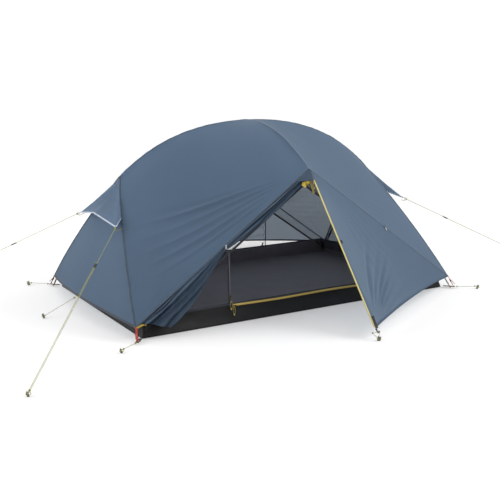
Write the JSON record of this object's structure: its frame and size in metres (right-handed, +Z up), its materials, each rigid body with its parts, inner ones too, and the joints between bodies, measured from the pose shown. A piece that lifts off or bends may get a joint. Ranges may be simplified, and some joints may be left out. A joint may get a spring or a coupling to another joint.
{
  "type": "hubbed-pole double-wall tent",
  "caption": "Free-standing low dome tent with a ridge pole, splayed legs, a short cross pole, an outer sheet with two porches and a net inner with a raised floor.",
  "frame": {"origin": "middle of the floor's underside", "axes": "+X along the sleeping length, -Y out of the open front porch, +Z up"},
  "size_m": [3.6303, 2.5984, 1.1826],
  "materials": {
    "fly_fabric": "coated ripstop, matt",
    "inner_net": "fine insect net",
    "groundsheet": "coated, matt",
    "anodised_tube": "anodised",
    "bare_alloy": "machined",
    "moulding": "fine grain",
    "elastic": "braided",
    "zip_tape": "woven tape",
    "webbing": "woven",
    "cord": "braided, reflective fleck",
    "trim": "reflective",
    "slider_metal": "satin",
    "stake_alloy": "anodised"
  },
  "bodies": {
    "tent": {"centre_hub": "moulding", "corner_straps": "webbing", "corner_webbing": "webbing", "cross_pole": "anodised_tube", "cross_pole_caps": "moulding", "door_ties": "moulding", "end_hubs": "moulding", "fly_ends": "fly_fabric", "fly_front_door_left": "fly_fabric", "fly_roof": "fly_fabric", "guylines": "cord", "inner_ends": "inner_net", "inner_front_door": "inner_net", "inner_front_wall": "inner_net", "inner_front_zip": "zip_tape", "inner_rear_wall": "inner_net", "inner_rear_zip": "zip_tape", "inner_roof": "inner_net", "leg_poles": "anodised_tube", "pole_clips": "moulding", "pole_ferrules": "bare_alloy", "pole_tips": "bare_alloy", "ridge_pole": "anodised_tube", "shock_cord": "elastic", "stake_cords": "cord", "tub_floor": "groundsheet", "vent_hoods": "fly_fabric", "vent_meshes": "inner_net", "vent_trims": "trim"},
    "front_door": {"fly_front_door_right": "fly_fabric", "fly_front_zip": "zip_tape", "front_hook": "moulding"},
    "rear_door_right": {"fly_rear_door_right": "fly_fabric", "fly_rear_zip": "zip_tape", "rear_hook_right": "moulding"},
    "rear_door_left": {"fly_rear_door_left": "fly_fabric", "rear_hook_left": "moulding"},
    "inner_door": {"inner_rear_door": "inner_net"},
    "front_slider": {"fly_front_slider": "slider_metal"},
    "rear_slider": {"fly_rear_slider": "slider_metal"},
    "inner_front_base_slider": {"inner_front_slider_base": "slider_metal"},
    "inner_front_side_slider": {"inner_front_slider_side": "slider_metal"},
    "inner_rear_base_slider": {"inner_rear_slider_base": "slider_metal"},
    "inner_rear_side_slider": {"inner_rear_slider_side": "slider_metal"},
    "tensioner_front_left": {"tensioner_front_left": "moulding"},
    "tensioner_front_right": {"tensioner_front_right": "moulding"},
    "tensioner_rear_left": {"tensioner_rear_left": "moulding"},
    "tensioner_rear_right": {"tensioner_rear_right": "moulding"},
    "stake_front_left": {"stake_front_left": "stake_alloy"},
    "stake_front_right": {"stake_front_right": "stake_alloy"},
    "stake_rear_left": {"stake_rear_left": "stake_alloy"},
    "stake_rear_right": {"stake_rear_right": "stake_alloy"},
    "guy_stake_front_left": {"guy_stake_front_left": "stake_alloy"},
    "guy_stake_front_right": {"guy_stake_front_right": "stake_alloy"},
    "guy_stake_rear_left": {"guy_stake_rear_left": "stake_alloy"},
    "guy_stake_rear_right": {"guy_stake_rear_right": "stake_alloy"},
    "hem_stake_left": {"hem_stake_left": "stake_alloy"},
    "hem_stake_right": {"hem_stake_right": "stake_alloy"},
    "porch_stake_front": {"porch_stake_front": "stake_alloy"},
    "porch_stake_rear": {"porch_stake_rear": "stake_alloy"}
  },
  "joints": [
    {"name": "front_door_fold", "type": "hinge", "parent": "tent", "child": "front_door", "pos_m": [0, -0.652, 0.808], "axis": [-0.8194, 0.0023, 0.5732], "range_deg": [0, 90]},
    {"name": "rear_door_right_fold", "type": "hinge", "parent": "tent", "child": "rear_door_right", "pos_m": [0, 0.652, 0.808], "axis": [0.8194, 0.0023, -0.5732], "range_deg": [0, 90]},
    {"name": "rear_door_left_fold", "type": "hinge", "parent": "tent", "child": "rear_door_left", "pos_m": [0, 0.652, 0.808], "axis": [0.8194, -0.0023, 0.5732], "range_deg": [0, 90]},
    {"name": "inner_door_swing", "type": "hinge", "parent": "tent", "child": "inner_door", "pos_m": [0.4885, 0.6158, 0.103], "axis": [0, -0.0245, 0.9997], "range_deg": [0, 90]},
    {"name": "front_zip_run", "type": "slide", "parent": "front_door", "child": "front_slider", "axis": [0, -0.6224, -0.7827], "range_m": [0, 0.8]},
    {"name": "rear_zip_run", "type": "slide", "parent": "rear_door_right", "child": "rear_slider", "axis": [0, 0.6224, -0.7827], "range_m": [0, 0.8]},
    {"name": "inner_front_base_zip_run", "type": "slide", "parent": "tent", "child": "inner_front_base_slider", "axis": [1, 0, 0], "range_m": [0, 0.91]},
    {"name": "inner_front_side_zip_run", "type": "slide", "parent": "tent", "child": "inner_front_side_slider", "axis": [0, 0.0245, 0.9997], "range_m": [0, 0.22]},
    {"name": "inner_rear_base_zip_run", "type": "slide", "parent": "tent", "child": "inner_rear_base_slider", "axis": [1, 0, 0], "range_m": [0, 0.91]},
    {"name": "inner_rear_side_zip_run", "type": "slide", "parent": "tent", "child": "inner_rear_side_slider", "axis": [0, -0.0245, 0.9997], "range_m": [0, 0.22]},
    {"name": "tensioner_front_left_run", "type": "slide", "parent": "tent", "child": "tensioner_front_left", "axis": [-0.607, -0.6749, -0.4196], "range_m": [0, 0.3]},
    {"name": "tensioner_front_right_run", "type": "slide", "parent": "tent", "child": "tensioner_front_right", "axis": [0.7161, -0.5578, -0.4196], "range_m": [0, 0.3]},
    {"name": "tensioner_rear_left_run", "type": "slide", "parent": "tent", "child": "tensioner_rear_left", "axis": [-0.607, 0.6749, -0.4196], "range_m": [0, 0.3]},
    {"name": "tensioner_rear_right_run", "type": "slide", "parent": "tent", "child": "tensioner_rear_right", "axis": [0.607, 0.6749, -0.4196], "range_m": [0, 0.3]},
    {"name": "stake_front_left_pull", "type": "slide", "parent": "tent", "child": "stake_front_left", "axis": [-0.202, -0.2339, 0.9511], "range_m": [0, 0.17]},
    {"name": "stake_front_right_pull", "type": "slide", "parent": "tent", "child": "stake_front_right", "axis": [0.202, -0.2339, 0.9511], "range_m": [0, 0.17]},
    {"name": "stake_rear_left_pull", "type": "slide", "parent": "tent", "child": "stake_rear_left", "axis": [-0.202, 0.2339, 0.9511], "range_m": [0, 0.17]},
    {"name": "stake_rear_right_pull", "type": "slide", "parent": "tent", "child": "stake_rear_right", "axis": [0.202, 0.2339, 0.9511], "range_m": [0, 0.17]},
    {"name": "guy_stake_front_left_pull", "type": "slide", "parent": "tent", "child": "guy_stake_front_left", "axis": [-0.2068, -0.2296, 0.9511], "range_m": [0, 0.17]},
    {"name": "guy_stake_front_right_pull", "type": "slide", "parent": "tent", "child": "guy_stake_front_right", "axis": [0.2435, -0.1902, 0.9511], "range_m": [0, 0.17]},
    {"name": "guy_stake_rear_left_pull", "type": "slide", "parent": "tent", "child": "guy_stake_rear_left", "axis": [-0.2068, 0.2296, 0.9511], "range_m": [0, 0.17]},
    {"name": "guy_stake_rear_right_pull", "type": "slide", "parent": "tent", "child": "guy_stake_rear_right", "axis": [0.2068, 0.2296, 0.9511], "range_m": [0, 0.17]},
    {"name": "hem_stake_left_pull", "type": "slide", "parent": "tent", "child": "hem_stake_left", "axis": [-0.309, 0, 0.9511], "range_m": [0, 0.17]},
    {"name": "hem_stake_right_pull", "type": "slide", "parent": "tent", "child": "hem_stake_right", "axis": [0.309, 0, 0.9511], "range_m": [0, 0.17]},
    {"name": "porch_stake_front_pull", "type": "slide", "parent": "tent", "child": "porch_stake_front", "axis": [0, -0.309, 0.9511], "range_m": [0, 0.17]},
    {"name": "porch_stake_rear_pull", "type": "slide", "parent": "tent", "child": "porch_stake_rear", "axis": [0, 0.309, 0.9511], "range_m": [0, 0.17]}
  ]
}
